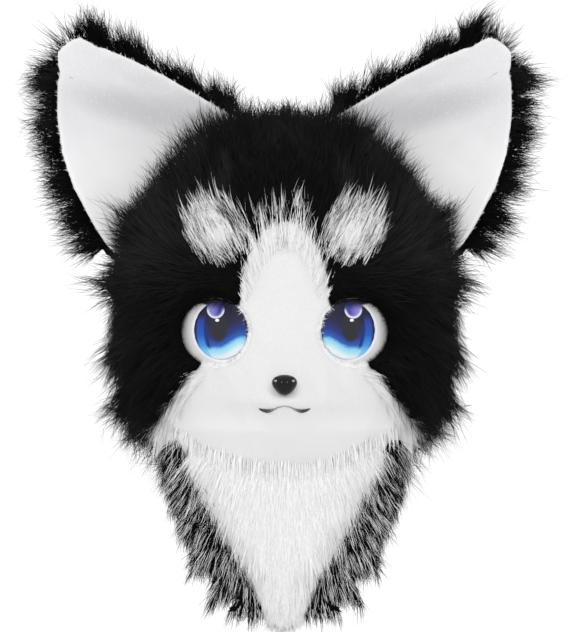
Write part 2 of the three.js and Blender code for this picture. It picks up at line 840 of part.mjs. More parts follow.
const foamMaterial = new THREE.MeshStandardMaterial({ color: 0xd9d2c0, roughness: 0.95 });
const blackFur = new THREE.MeshStandardMaterial({ color: 0x101012, roughness: 0.9 });
const whiteFur = new THREE.MeshStandardMaterial({ color: 0xf0f0ee, roughness: 0.9 });
const cloth = new THREE.MeshStandardMaterial({ color: 0xdcdcdc, roughness: 0.95 });
const eyePlastic = new THREE.MeshStandardMaterial({ color: 0xe2e0dc, roughness: 0.4 });
const irisPlastic = new THREE.MeshStandardMaterial({ color: 0x3d6fae, roughness: 0.2 });
const nosePlastic = new THREE.MeshStandardMaterial({ color: 0x141416, roughness: 0.2 });
const mouthFelt = new THREE.MeshStandardMaterial({ color: 0x242424, roughness: 0.9 });

const headPieces = [
  ["head_base", base, foamMaterial],
  ["hood_fur", hood, blackFur],
  ["face_fur", face, whiteFur],
  ["brow_spot_left", spotLeft, whiteFur],
  ["brow_spot_right", spotRight, whiteFur],
  ["eye_white_left", whiteLeft, eyePlastic],
  ["eye_white_right", whiteRight, eyePlastic],
  ["iris_left", irisLeft, irisPlastic],
  ["iris_right", irisRight, irisPlastic],
  ["nose", nose, nosePlastic],
  ["mouth_line", mouth, mouthFelt],
  ["ear_left", earLeft, blackFur],
  ["ear_right", earRight, blackFur],
  ["ear_plush_left", plushLeft, whiteFur],
  ["ear_plush_right", plushRight, whiteFur],
  ["bib_backing", backing.subtract(overFace), cloth],
  ["bib_fur", bib.subtract(overFace), whiteFur],
  ["bib_band_left", bandLeft.subtract(overFace), blackFur],
  ["bib_band_right", bandRight.subtract(overFace), blackFur],
];

const part = new THREE.Group();
headPieces.forEach(([name, solid, material]) => {
  const made = mainBody(solid).getMesh();
  const geometry = new THREE.BufferGeometry();
  geometry.setAttribute("position", new THREE.BufferAttribute(made.vertProperties, 3));
  geometry.setIndex(new THREE.BufferAttribute(made.triVerts, 1));
  geometry.computeVertexNormals();
  const piece = new THREE.Mesh(geometry, material);
  piece.name = name;
  part.add(piece);
});

export default part;
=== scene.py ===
"""A costume head in its fur, plush, foam, eyes, nose, mouth and cloth.
Metres, +Z up, the face looks along -Y."""
import math

import bpy
import numpy as np
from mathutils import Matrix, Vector
from mathutils.bvhtree import BVHTree


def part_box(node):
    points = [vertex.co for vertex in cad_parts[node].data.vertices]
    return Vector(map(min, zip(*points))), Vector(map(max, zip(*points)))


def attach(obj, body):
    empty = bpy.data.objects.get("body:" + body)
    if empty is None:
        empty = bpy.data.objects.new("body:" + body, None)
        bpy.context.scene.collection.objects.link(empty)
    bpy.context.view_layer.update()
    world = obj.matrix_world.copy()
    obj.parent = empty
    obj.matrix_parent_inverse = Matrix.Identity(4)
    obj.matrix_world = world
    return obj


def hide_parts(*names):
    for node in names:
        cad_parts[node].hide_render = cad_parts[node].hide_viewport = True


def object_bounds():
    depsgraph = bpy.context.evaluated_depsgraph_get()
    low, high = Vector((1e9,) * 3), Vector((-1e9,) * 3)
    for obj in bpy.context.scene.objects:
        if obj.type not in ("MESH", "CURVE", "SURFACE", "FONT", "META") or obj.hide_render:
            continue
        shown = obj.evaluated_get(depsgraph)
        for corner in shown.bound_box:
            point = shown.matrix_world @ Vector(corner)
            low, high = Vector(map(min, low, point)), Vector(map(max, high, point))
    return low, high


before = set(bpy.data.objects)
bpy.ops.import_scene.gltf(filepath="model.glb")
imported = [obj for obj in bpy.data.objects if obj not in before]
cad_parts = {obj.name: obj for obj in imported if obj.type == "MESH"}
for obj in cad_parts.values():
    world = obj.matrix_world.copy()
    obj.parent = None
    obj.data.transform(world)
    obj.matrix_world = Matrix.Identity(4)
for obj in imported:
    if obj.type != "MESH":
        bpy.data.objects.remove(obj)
cad_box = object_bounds()

MM = 0.001
HEAD_CENTRE = np.array([0.0, 0.0, -0.116])
NOSE_TIP = np.array([0.0, -0.124, -0.179])
EAR_SPLAY = math.radians(36)
EAR_BASE = (0.082, -0.031)  # across and up, from the middle of the head
IRIS_CENTRE = (0.0485, -0.138)
IRIS_HALF = (0.021, 0.0225)
EYE_MIDDLE = (0.053, -0.1395)  # of the whole eye window
BROW_SPOT_HALF = (0.022, 0.026)
EAR_FOLD = (0.125, 0.041)  # the middle of the crease in an ear's lining, across and up
EAR_REACH = 0.15  # from an ear's base to near its tip
RIM_ROWS = 64  # places along an ear at which its rim is measured
RIM_BASE_ROW = 12  # the one at the ear's base
RIM_STEP = 4 * MM
CAMERA_PLACE = (0, -2.5, -0.1272)
BOX_SHARE = 0.03  # the fur may stand this share of each side, and a little more, out of the solids' box
BOX_EXTRA = 8 * MM


# Small helpers

def linear(red, green, blue):
    """A display colour from 0 to 255 as the renderer's linear colour."""
    shares = (c / 255 for c in (red, green, blue))
    return (*(s / 12.92 if s <= 0.04045 else ((s + 0.055) / 1.055) ** 2.4 for s in shares), 1.0)


def unit(vectors):
    return vectors / np.maximum(np.linalg.norm(vectors, axis=-1, keepdims=True), 1e-9)


def smoothstep(low, high, values):
    t = np.clip((values - low) / (high - low), 0, 1)
    return t * t * (3 - 2 * t)


def vertices_of(mesh):
    flat = np.empty(len(mesh.vertices) * 3)
    mesh.vertices.foreach_get("co", flat)
    return flat.reshape(-1, 3)


# Materials

class Surface:
    """A material under construction: its nodes, and sums on numbers that vary over the surface."""

    def __init__(self, name, roughness, specular=0.5):
        self.material = bpy.data.materials.new(name)
        self.material.use_nodes = True
        self.nodes = self.material.node_tree.nodes
        self.links = self.material.node_tree.links
        self.shader = self.nodes["Principled BSDF"]
        self.shader.inputs["Roughness"].default_value = roughness
        self.shader.inputs["Specular IOR Level"].default_value = specular

    def node(self, kind, **inputs):
        made = self.nodes.new(kind)
        for key, value in inputs.items():
            self.put(made.inputs[key.replace("_", " ")], value)
        return made

    def put(self, socket, value):
        if isinstance(value, bpy.types.NodeSocket):
            self.links.new(value, socket)
        else:
            socket.default_value = value

    def maths(self, operation, *values):
        made = self.nodes.new("ShaderNodeMath")
        made.operation = operation
        for socket, value in zip(made.inputs, values):
            self.put(socket, value)
        return made.outputs[0]

    def step(self, value, low, high):
        """0 below low, 1 above high, smooth between. low may be the greater."""
        made = self.nodes.new("ShaderNodeMapRange")
        made.interpolation_type = "SMOOTHSTEP"
        flip = low > high
        self.put(made.inputs["Value"], value)
        made.inputs["From Min"].default_value = min(low, high)
        made.inputs["From Max"].default_value = max(low, high)
        made.inputs["To Min"].default_value = 1.0 if flip else 0.0
        made.inputs["To Max"].default_value = 0.0 if flip else 1.0
        return made.outputs["Result"]

    def mix(self, share, first, second):
        made = self.nodes.new("ShaderNodeMix")
        made.data_type = "RGBA"
        self.put(made.inputs["Factor"], share)
        self.put(made.inputs[6], first)
        self.put(made.inputs[7], second)
        return made.outputs[2]

    def ramp(self, value, stops):
        made = self.nodes.new("ShaderNodeValToRGB")
        elements = made.color_ramp.elements
        while len(elements) < len(stops):
            elements.new(0.5)
        for element, (place, colour) in zip(elements, stops):
            element.position = place
            element.color = colour
        self.put(made.inputs["Fac"], value)
        return made.outputs["Color"]

    def place(self):
        """The point's own x, y and z in metres."""
        coordinates = self.nodes.new("ShaderNodeTexCoord")
        split = self.node("ShaderNodeSeparateXYZ", Vector=coordinates.outputs["Object"])
        return split.outputs["X"], split.outputs["Y"], split.outputs["Z"]

    def noise(self, scale, detail=3.0, roughness=0.55):
        coordinates = self.nodes.new("ShaderNodeTexCoord")
        made = self.node("ShaderNodeTexNoise", Vector=coordinates.outputs["Object"], Scale=scale)
        made.inputs["Detail"].default_value = detail
        made.inputs["Roughness"].default_value = roughness
        return made.outputs["Fac"]

    def colour(self, value):
        self.put(self.shader.inputs["Base Color"], value)

    def bump(self, height, strength, distance):
        made = self.node("ShaderNodeBump", Height=height)
        made.inputs["Strength"].default_value = strength
        made.inputs["Distance"].default_value = distance
        self.links.new(made.outputs["Normal"], self.shader.inputs["Normal"])


def strand_material(name, root, tip, roughness, specular):
    """Fur: root is the colour low in the pile, tip the colour at the ends.
    Each strand is a little different."""
    surface = Surface(name, roughness, specular)
    tone = surface.node("ShaderNodeAttribute")
    tone.attribute_name = "tone"
    surface.colour(surface.ramp(tone.outputs["Fac"], [(0.0, root), (1.0, tip)]))
    return surface.material


def pile_material(name, low, high, specular, height):
    """The ground of a fur: fine mottled grain with matching bumps."""
    surface = Surface(name, 0.9, specular)
    fine = surface.noise(900.0, 4.0, 0.65)
    surface.colour(surface.ramp(fine, [(0.3, low), (0.7, high)]))
    surface.bump(fine, 0.5, height)
    return surface.material


def face_material():
    """The face's ground, with the dark roots of the fur showing at the top of the blaze."""
    surface = Surface("face_ground", 0.9, 0.1)
    fine = surface.noise(900.0, 4.0, 0.65)
    white = surface.ramp(fine, [(0.3, linear(204, 204, 204)), (0.7, linear(214, 214, 214))])
    _, _, z = surface.place()
    # painted light: the ground is paler below the jaw line, where the jaw turns under into shade
    white = surface.mix(surface.step(z, -0.195, -0.215), white, linear(216, 216, 216))
    surface.colour(surface.mix(surface.step(z, -0.084, -0.056), white, linear(70, 70, 71)))
    surface.bump(fine, 0.5, 0.4 * MM)
    return surface.material


def spot_material(name, middle):
    """The ground of a brow spot: pale in the middle and dark at the edge."""
    surface = Surface(name, 0.9, 0.1)
    x, _, z = surface.place()
    away = oval_distance(surface, (x, z), (middle.x, middle.z), BROW_SPOT_HALF)
    grain = surface.maths("MULTIPLY_ADD", surface.noise(400.0), 0.6, -0.3)
    surface.colour(surface.ramp(surface.maths("ADD", away, grain),
                                [(0.15, linear(205, 205, 205)), (0.7, linear(18, 18, 19))]))
    surface.bump(surface.noise(400.0), 0.5, 0.8 * MM)
    return surface.material


def plush_material(name):
    """Fine plush, with painted shade in grey along the crease of the ear's lining and painted light that
    makes it paler low on the ear.
    """
    surface = Surface(name, 0.9, 0.1)
    fine = surface.noise(1200.0, 4.0, 0.65)
    pale = surface.ramp(fine, [(0.3, linear(206, 206, 208)), (0.7, linear(220, 220, 222))])
    x, _, z = surface.place()
    # painted light: the lining is paler low on the ear, near its base
    pale = surface.mix(surface.step(z, 0.05, -0.02), pale, linear(234, 234, 235))
    # painted shade: a grey band along the crease of the ear's lining
    away = surface.maths("SUBTRACT", surface.maths("ABSOLUTE", x), EAR_FOLD[0])
    rise = surface.maths("MULTIPLY_ADD", away, -0.24, surface.maths("SUBTRACT", z, EAR_FOLD[1]))
    fold_shade = surface.step(oval_distance(surface, (away, rise), (0, 0), (0.055, 0.016)), 1.3, 0.2)
    surface.colour(surface.mix(surface.maths("MULTIPLY", fold_shade, 0.55), pale, linear(176, 176, 179)))
    surface.bump(fine, 0.4, 0.3 * MM)
    return surface.material


def foam_material():
    """Open-cell foam, lined at the edge of the eye windows."""
    surface = Surface("foam", 0.9, 0.2)
    cells = surface.node("ShaderNodeTexVoronoi", Scale=900.0)
    coordinates = surface.nodes.new("ShaderNodeTexCoord")
    surface.links.new(coordinates.outputs["Object"], cells.inputs["Vector"])
    blotch = surface.noise(60.0)
    bare = surface.ramp(blotch, [(0.3, linear(205, 198, 178)), (0.7, linear(222, 216, 200))])
    # the lining is black beside the hood's fur and white beside the face's
    place = eye_place(surface)
    beside_hood = surface.maths("MULTIPLY_ADD", place[0], 0.84, surface.maths("MULTIPLY", place[1], 0.55))
    lining = surface.mix(surface.step(beside_hood, -0.15, 0.0), linear(222, 222, 222), linear(5, 5, 6))
    _, y, _ = surface.place()
    lined = surface.maths("MULTIPLY", surface.step(oval_distance(surface, place, (0.2, 0), (1, 1)), 2.1, 1.9),
                          surface.step(y, -0.04, -0.05))
    surface.colour(surface.mix(lined, bare, lining))
    surface.bump(cells.outputs["Distance"], 0.5, 0.6 * MM)
    return surface.material


def cloth_material():
    """Plain woven backing cloth: two crossed sets of threads."""
    surface = Surface("backing_cloth", 0.85, 0.2)
    x, _, z = surface.place()
    thread = 2 * math.pi / (0.9 * MM)
    warp = surface.maths("SINE", surface.maths("MULTIPLY", x, thread))
    weft = surface.maths("SINE", surface.maths("MULTIPLY", z, thread))
    weave = surface.maths("MULTIPLY", warp, weft)
    surface.colour(surface.ramp(surface.maths("MULTIPLY_ADD", weave, 0.5, 0.5),
                                [(0.0, linear(206, 206, 204)), (1.0, linear(228, 228, 226))]))
    surface.bump(weave, 0.6, 0.2 * MM)
    return surface.material


def nose_material():
    """Glossy black plastic."""
    surface = Surface("nose_gloss", 0.12, 0.2)
    surface.colour(surface.ramp(surface.noise(400.0), [(0.3, linear(8, 8, 9)), (0.7, linear(16, 15, 17))]))
    surface.bump(surface.noise(1500.0), 0.08, 0.1 * MM)
    return surface.material


def mouth_material():
    """Painted shade: a dark strip for the shade in the mouth's slit, paler where the slit is thin in the
    middle.
    """
    surface = Surface("mouth_slit_shade", 0.9, 0.1)
    dark = surface.ramp(surface.noise(900.0), [(0.3, linear(48, 46, 48)), (0.7, linear(84, 80, 82))])
    x, _, _ = surface.place()
    # less painted shade in the thin middle of the slit
    middle = surface.step(surface.maths("ABSOLUTE", x), 14 * MM, 4 * MM)
    surface.colour(surface.mix(middle, dark, linear(150, 148, 148)))
    surface.bump(surface.noise(2500.0), 0.5, 0.2 * MM)
    return surface.material


def eye_place(surface):
    """The point's place on the iris: outward and up from its middle, in shares of its half sizes."""
    x, _, z = surface.place()
    outward = surface.maths("SUBTRACT", surface.maths("ABSOLUTE", x), IRIS_CENTRE[0])
    upward = surface.maths("SUBTRACT", z, IRIS_CENTRE[1])
    return (surface.maths("DIVIDE", outward, IRIS_HALF[0]),
            surface.maths("DIVIDE", upward, IRIS_HALF[1]))


def oval_distance(surface, place, centre, half):
    """Distance from an oval's middle, 1 at its edge."""
    parts = []
    for value, middle, size in zip(place, centre, half):
        share = surface.maths("DIVIDE", surface.maths("SUBTRACT", value, middle), size)
        parts.append(surface.maths("MULTIPLY", share, share))
    return surface.maths("SQRT", surface.maths("ADD", *parts))


def white_of_eye_material():
    """Satin white, bright round the iris and shaded towards the outer edge."""
    surface = Surface("eye_white", 0.45, 0.4)
    place = eye_place(surface)
    away = oval_distance(surface, place, (0, 0), (1, 1))
    grey = surface.ramp(surface.step(away, 1.02, 1.7),
                        [(0.0, linear(214, 213, 214)), (0.45, linear(196, 193, 192)),
                         (1.0, linear(120, 117, 112))])
    grain = surface.step(surface.noise(700.0), 0.3, 0.8)
    grey = surface.mix(surface.maths("MULTIPLY", grain, 0.08), grey, linear(170, 168, 166))
    rim = surface.step(away, 1.1, 1.04)
    white = surface.mix(rim, grey, linear(236, 236, 246))
    below_lid = surface.maths("MULTIPLY_ADD", surface.maths("ABSOLUTE", place[0]), -0.25, place[1])
    lid = surface.step(below_lid, 0.66, 0.76)
    surface.colour(surface.mix(lid, white, linear(12, 12, 18)))
    return surface.material


def iris_material():
    """Printed iris: dark above, bright blue at the outer side, cyan below.
    It has a dark pupil and two painted highlights."""
    surface = Surface("iris_print", 0.2, 0.12)
    place = eye_place(surface)
    across, up = place
    inner = surface.step(across, 0.1, -0.8)
    level = surface.maths("SUBTRACT", up, surface.maths("MULTIPLY", inner, 0.36))
    fibres = surface.noise(900.0, 2.0, 0.5)
    level = surface.maths("ADD", level, surface.maths("MULTIPLY_ADD", fibres, 0.12, -0.06))
    colour = surface.ramp(surface.maths("MULTIPLY_ADD", level, 0.5, 0.5), [
        (0.03, linear(204, 214, 218)), (0.1, linear(160, 202, 214)), (0.17, linear(124, 190, 218)),
        (0.235, linear(38, 84, 166)), (0.36, linear(34, 48, 110)), (0.5, linear(36, 36, 66)),
        (0.7, linear(30, 30, 50)), (1.0, linear(16, 16, 32))])
    # the blue band along the outer side, with a dark line inside it
    middle = surface.maths("MULTIPLY_ADD", surface.maths("MULTIPLY", up, up), -0.34, 0.76)
    off = surface.maths("ABSOLUTE", surface.maths("SUBTRACT", across, middle))
    band = surface.maths("MULTIPLY", surface.step(off, 0.17, 0.09), surface.step(up, 0.55, 0.3))
    blue = surface.ramp(surface.maths("MULTIPLY_ADD", up, 0.5, 0.5),
                        [(0.12, linear(112, 184, 216)), (0.24, linear(58, 134, 208)),
                         (0.42, linear(28, 82, 172)), (0.7, linear(34, 52, 132))])
    line_middle = surface.maths("SUBTRACT", middle, 0.22)
    line_off = surface.maths("ABSOLUTE", surface.maths("SUBTRACT", across, line_middle))
    line = surface.maths("MULTIPLY", surface.step(line_off, 0.08, 0.02), surface.step(up, 0.3, 0.0))
    line = surface.maths("MULTIPLY", line, surface.step(up, -0.7, -0.5))
    colour = surface.mix(line, colour, linear(14, 44, 112))
    colour = surface.mix(band, colour, blue)
    pupil = surface.step(oval_distance(surface, place, (0.09, 0.1), (0.36, 0.56)), 1.05, 0.72)
    colour = surface.mix(pupil, colour, linear(40, 38, 46))
    edge = surface.maths("MULTIPLY", surface.step(oval_distance(surface, place, (0, 0), (1, 1)), 0.9, 0.97),
                         surface.step(up, -0.5, -0.1))
    colour = surface.mix(edge, colour, linear(16, 16, 40))
    # the large painted highlight is purple-blue with a pale lower rim
    light = oval_distance(surface, place, (0.19, 0.71), (0.325, 0.317))
    glow = surface.mix(surface.step(across, 0.0, 0.4), linear(64, 62, 146), linear(128, 126, 190))
    rim = surface.maths("MULTIPLY", surface.step(light, 0.62, 0.95), surface.step(up, 0.8, 0.6))
    glow = surface.mix(rim, glow, linear(212, 212, 232))
    glow = surface.mix(surface.step(up, 0.66, 0.92), glow, linear(26, 24, 70))
    colour = surface.mix(surface.step(light, 1.04, 0.94), colour, glow)
    dot = surface.step(oval_distance(surface, place, (0.135, 0.335), (0.07, 0.045)), 1.2, 0.8)
    surface.colour(surface.mix(dot, colour, linear(250, 250, 252)))
    surface.shader.inputs["Coat Weight"].default_value = 0.15
    surface.shader.inputs["Coat Roughness"].default_value = 0.05
    return surface.material


# Pieces that follow the solids

def tree_of(piece):
    mesh = piece.data
    return BVHTree.FromPolygons([v.co for v in mesh.vertices], [p.vertices for p in mesh.polygons])


def dressed(node, name, material, voxel, passes, swell=0.0):
    """A smooth copy of a solid that takes its place: rebuilt on a fine even grid, then smoothed.
    A thin solid swells a little first, so that the grid leaves no holes in it."""
    copy = bpy.data.objects.new(name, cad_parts[node].data.copy())
    bpy.context.scene.collection.objects.link(copy)
    thicker = copy.modifiers.new("thicker", "DISPLACE")
    thicker.mid_level = 0
    thicker.strength = swell
    remesh = copy.modifiers.new("grid", "REMESH")
    remesh.mode = "VOXEL"
    remesh.voxel_size = voxel
    remesh.use_smooth_shade = True
    smooth = copy.modifiers.new("smooth", "SMOOTH")
    smooth.factor = 0.5
    smooth.iterations = passes
    evaluated = copy.evaluated_get(bpy.context.evaluated_depsgraph_get())
    mesh = bpy.data.meshes.new_from_object(evaluated)
    copy.modifiers.clear()
    copy.data = mesh
    mesh.name = name
    mesh.materials.clear()
    mesh.materials.append(material)
    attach(copy, "root")
    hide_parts(node)
    return copy


def rim_profile(along, reach):
    """How far out a rim lies at each place along it, with the locks that stand out of it left off."""
    window = 4
    rows = np.clip((along / RIM_STEP).astype(int) + RIM_BASE_ROW, 0, RIM_ROWS - 1)
    far = np.full(RIM_ROWS, -1.0)
    np.maximum.at(far, rows, reach)
    filled = far > -1
    far = np.interp(np.arange(RIM_ROWS), np.arange(RIM_ROWS)[filled], far[filled])
    spread = np.pad(far, window, mode="edge")
    least = np.array([spread[i:i + 2 * window + 1].min() for i in range(RIM_ROWS)])
    even = np.convolve(np.pad(least, 2, mode="edge"), np.full(5, 0.2), mode="valid")
    return even[rows]


def reshaped(piece, points):
    piece.data.vertices.foreach_set("co", points.ravel())
    piece.data.update()


def without_locks(ear):
    """Draws the locks on an ear's rim back to a little over the rim: strands take their place."""
    points = vertices_of(ear.data)
    across, along, out, up = ear_frame(points)
    points -= up * (np.clip(along - 0.153, 0, None) * 0.8)[:, None]
    for sign, base in ((1, 0.0), (-1, 0.035)):
        over = sign * across - rim_profile(along, sign * across) - 5 * MM
        free = smoothstep(base, base + 0.02, along)
        points -= sign * out * (np.clip(over, 0, None) * 0.9 * free)[:, None]
    reshaped(ear, points)


def stood_out(lining, amount):
    """Moves a lining forward, clear of what it lines."""
    points = vertices_of(lining.data)
    points[:, 1] -= amount
    reshaped(lining, points)


def rounded_tip(lining, room, reach):
    """Draws the middle of a lining's blunt tip out along the ear, so that its end is round."""
    points = vertices_of(lining.data)
    across, along, _, up = ear_frame(points)
    end = across[along > along.max() - 3 * MM]
    middle, half = (end.max() + end.min()) / 2, (end.max() - end.min()) / 2 + 4 * MM
    bulge = np.sqrt(np.clip(1 - ((across - middle) / half) ** 2, 0, 1))
    points += up * (smoothstep(along.max() - room, along.max(), along) * bulge * reach)[:, None]
    reshaped(lining, points)


def drawn_up(piece, level, room):
    """Draws the part of a piece below a level up into a little room, and leaves its ends to strands."""
    points = vertices_of(piece.data)
    over = np.clip(level - points[:, 2], 0, None)
    points[:, 2] += over - room * (1 - np.exp(-over / room))
    reshaped(piece, points)


# Fur

class Roots:
    """Points spread over a surface, with the surface's direction at each."""

    def __init__(self, mesh, count, seed, share):
        self.random = np.random.default_rng(seed)
        self.lean = np.zeros(3)  # turns the side that strands show to the light
        mesh.calc_loop_triangles()
        corners = np.empty(len(mesh.loop_triangles) * 3, int)
        mesh.loop_triangles.foreach_get("vertices", corners)
        corners = corners.reshape(-1, 3)
        points = vertices_of(mesh)
        normals = np.empty(len(mesh.vertices) * 3)
        mesh.vertex_normals.foreach_get("vector", normals)
        normals = normals.reshape(-1, 3)
        a, b, c = (points[corners[:, i]] for i in range(3))
        areas = np.linalg.norm(np.cross(b - a, c - a), axis=1)
        weights = areas * share((a + b + c) / 3, unit(normals[corners].sum(1)))
        picked = self.random.choice(len(corners), count, p=weights / weights.sum())
        first = np.sqrt(self.random.random(count))
        second = self.random.random(count)
        shares = np.stack([1 - first, first * (1 - second), first * second], axis=1)[..., None]
        self.at = (points[corners[picked]] * shares).sum(1)
        self.out = unit((normals[corners[picked]] * shares).sum(1))

    def keep(self, kept):
        self.at, self.out = self.at[kept], self.out[kept]


def gap_to(roots, piece, reach):
    """Each root's distance from a piece, up to reach."""
    tree = tree_of(piece)
    found = (tree.find_nearest(Vector(p), reach)[3] for p in roots.at)
    return np.array([reach if gap is None else gap for gap in found])


def behind(roots, lining):
    """Which roots on the front of an ear its lining covers."""
    tree = tree_of(lining)
    forward = Vector((0, -1, 0))
    covered = [tree.ray_cast(Vector(p), forward, 30 * MM)[0] is not None for p in roots.at]
    return np.array(covered) & (roots.out[:, 1] < 0.3)


def clumped(paths, roots, size, pull):
    """Draws each strand towards a neighbour that leads its tuft, more towards the tip."""
    cells = np.floor(roots.at / size + roots.random.random(3))
    _, leaders, tuft = np.unique(cells, axis=0, return_index=True, return_inverse=True)
    lead = paths[leaders[tuft.reshape(-1)]]
    steps = np.linspace(0, 1, paths.shape[1])[None, :, None]
    return paths + (lead - paths) * pull * steps ** 1.5


def held_in_box(paths):
    """Shortens the strands that would leave the box that the fur may fill."""
    low, high = (np.array(corner) for corner in cad_box)
    spare = (high - low) * BOX_SHARE + BOX_EXTRA
    root = paths[:, :1]
    reach = paths - root
    with np.errstate(divide="ignore", invalid="ignore"):
        over = np.where(reach > 0, (high + spare - root) / reach, (low - spare - root) / reach)
    over = np.where(np.abs(reach) < 1e-7, 1, over)
    share = np.clip(over.min(axis=(1, 2)), 0.1, 1)
    return root + reach * share[:, None, None]


def strands(name, slot, material, roots, flow, length, lift, width=0.45 * MM, segments=3,
            spread=0.25, curl=0.2, droop=0.0, clump=0.0, clump_size=6 * MM, tone=(0.2, 1.0)):
    """Tapered strands. By root, flow is where they comb to, lift their angle off the skin
    and length how long they are."""
    rand = roots.random
    count = len(roots.at)
    along = unit(flow - (flow * roots.out).sum(1, keepdims=True) * roots.out)
    sideways = np.cross(roots.out, along)
    turn = rand.normal(0, spread, (count, 1))
    along = along * np.cos(turn) + sideways * np.sin(turn)
    lift = np.clip(lift + rand.normal(0, 0.12, count), 0.03, 1.5)[:, None]
    heading = along * np.cos(lift) + roots.out * np.sin(lift)
    length = length * (0.52 + 1.05 * rand.random(count) ** 3.2)
    step = (length / segments)[:, None]
    bend = rand.normal(0, curl, (count, 3)) - 0.25 * roots.out * np.sin(lift) + np.array([0, 0, -droop])
    path = [roots.at - roots.out * MM]
    for _ in range(segments):
        path.append(path[-1] + heading * step)
        heading = unit(heading + bend)
    paths = np.stack(path, axis=1)
    if clump:
        paths = clumped(paths, roots, clump_size, clump)
    paths = held_in_box(paths)
    return ribbons(name, slot, material, paths, roots, width, tone)


def ribbons(name, slot, material, paths, roots, width, tone):
    """Turns paths into one mesh of flat tapered blades."""
    rand = roots.random
    count, points = paths.shape[:2]
    run = unit(paths[:, -1] - paths[:, 0])
    dark = slot == "black_fur"
    turned = 1.0 if dark else 0.3
    side = unit(np.cross(run, unit(rand.normal(size=(count, 3))) * turned + roots.out * 0.8))
    facing = (np.cross(side, run) * roots.out).sum(1, keepdims=True)
    side = side * np.where(facing < 0, -1, 1)
    narrowing = (1 - np.linspace(0, 1, points) ** 2)[None, :, None]
    taper = 0.5 * width * narrowing * rand.uniform(0.7, 1.3, (count, 1, 1))
    left, right = paths - side[:, None] * taper, paths + side[:, None] * taper
    body = np.stack([left[:, :-1], right[:, :-1]], axis=2).reshape(count, -1, 3)
    corners = np.concatenate([body, paths[:, -1:]], axis=1)
    per = corners.shape[1]
    quads = [[2 * i, 2 * i + 1, 2 * i + 3, 2 * i + 2] for i in range(points - 2)]
    loops = np.array(sum(quads, []) + [per - 3, per - 2, per - 1])
    sizes = [4] * len(quads) + [3]
    starts = np.cumsum([0] + sizes[:-1])
    mesh = bpy.data.meshes.new(name)
    mesh.vertices.add(count * per)
    mesh.vertices.foreach_set("co", corners.astype(np.float32).ravel())
    mesh.loops.add(count * len(loops))
    blade = np.arange(count)[:, None]
    mesh.loops.foreach_set("vertex_index", (loops[None] + blade * per).ravel().astype(np.int32))
    mesh.polygons.add(count * len(sizes))
    mesh.polygons.foreach_set("loop_start", (starts[None] + blade * len(loops)).ravel().astype(np.int32))
    mesh.update(calc_edges=True)
    mesh.shade_smooth()
    uneven = 0.12 if dark else 0.05
    normals = unit(unit(roots.out + roots.lean)[:, None] + uneven * rand.normal(size=(count, 1, 3)))
    normals = np.broadcast_to(normals, (count, per, 3)).reshape(-1, 3)
    mesh.normals_split_custom_set_from_vertices(normals.tolist())
    height = np.append(np.repeat(np.linspace(0, 1, points)[:-1], 2), 1.0)
    shade = (tone[0] + (tone[1] - tone[0]) * height[None]) * rand.uniform(0.75, 1.0, (count, 1))
    tones = mesh.attributes.new("tone", "FLOAT", "POINT")
    tones.data.foreach_set("value", shade.ravel().astype(np.float32))
    mesh.materials.append(material)
    made = bpy.data.objects.new(name, mesh)
    bpy.context.scene.collection.objects.link(made)
    made.visible_shadow = dark  # pale pile passes light on, so it hardly shades itself
    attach(made, "root")
    return made


# How the fur lies

def outside(points, normals):
    """True where the surface looks away from the middle of the head, not on the inner side of a shell."""
    return ((points - HEAD_CENTRE) * normals).sum(1) > 0.02


def hood_flow(at):
    """Up and back from the nose over the crown, outward and down at the sides, down behind."""
    upward = unit(at - NOSE_TIP)
    side = np.sign(at[:, 0])
    outward = unit(np.stack([side * 0.75, np.full(len(at), 0.25), np.full(len(at), -0.75)], axis=1))
    behind = unit(np.stack([at[:, 0] * 3, np.full(len(at), 0.15), np.full(len(at), -1.0)], axis=1))
    low = smoothstep(-0.05, -0.15, at[:, 2])[:, None]
    back = smoothstep(0.03, 0.09, at[:, 1])[:, None]
    return unit((upward * (1 - low) + outward * low) * (1 - back) + behind * back)


def hood_strands(skin, material):
    """Long fur all over the hood, in two halves, shorter beside the face."""
    for half, seed in (("left", 11), ("right", 12)):
        side = 1 if half == "left" else -1
        roots = Roots(skin.data, 30000, seed,
                      lambda p, n: outside(p, n) * (p[:, 0] * side > -1 * MM) * (p[:, 2] > -0.262))
        across, level = np.abs(roots.at[:, 0]), roots.at[:, 2]
        low = smoothstep(-0.06, -0.16, level)
        near_face = smoothstep(-0.02, -0.09, roots.at[:, 1]) * smoothstep(0.1, 0.05, across)
        by_ears = (smoothstep(0.02, 0.035, across) * smoothstep(0.1, 0.08, across)
                   * smoothstep(-0.05, -0.01, level))
        below_ears = smoothstep(0.11, 0.13, across) * smoothstep(-0.1, -0.085, level)
        length = (25 + 9 * low - 7 * near_face + 9 * by_ears + 10 * below_ears) * MM
        lift = 0.66 - 0.1 * low - 0.34 * near_face + 0.35 * by_ears
        strands("hood_strands_" + half, "black_fur", material, roots, hood_flow(roots.at), length, lift,
                segments=2, clump=0.4, clump_size=7 * MM, droop=0.05)


def ear_frame(at):
    """Distances out from an ear's middle line and up its length, and their directions in space."""
    side = np.sign(at[:, 0])
    x, z = at[:, 0] - side * EAR_BASE[0], at[:, 2] - EAR_BASE[1]
    up = np.stack([side * math.sin(EAR_SPLAY), 0 * side, np.full(len(at), math.cos(EAR_SPLAY))], axis=1)
    out = np.stack([side * math.cos(EAR_SPLAY), 0 * side, np.full(len(at), -math.sin(EAR_SPLAY))], axis=1)
    along = x * up[:, 0] + z * up[:, 2]
    across = x * out[:, 0] + z * out[:, 2]
    return across, along, out, up


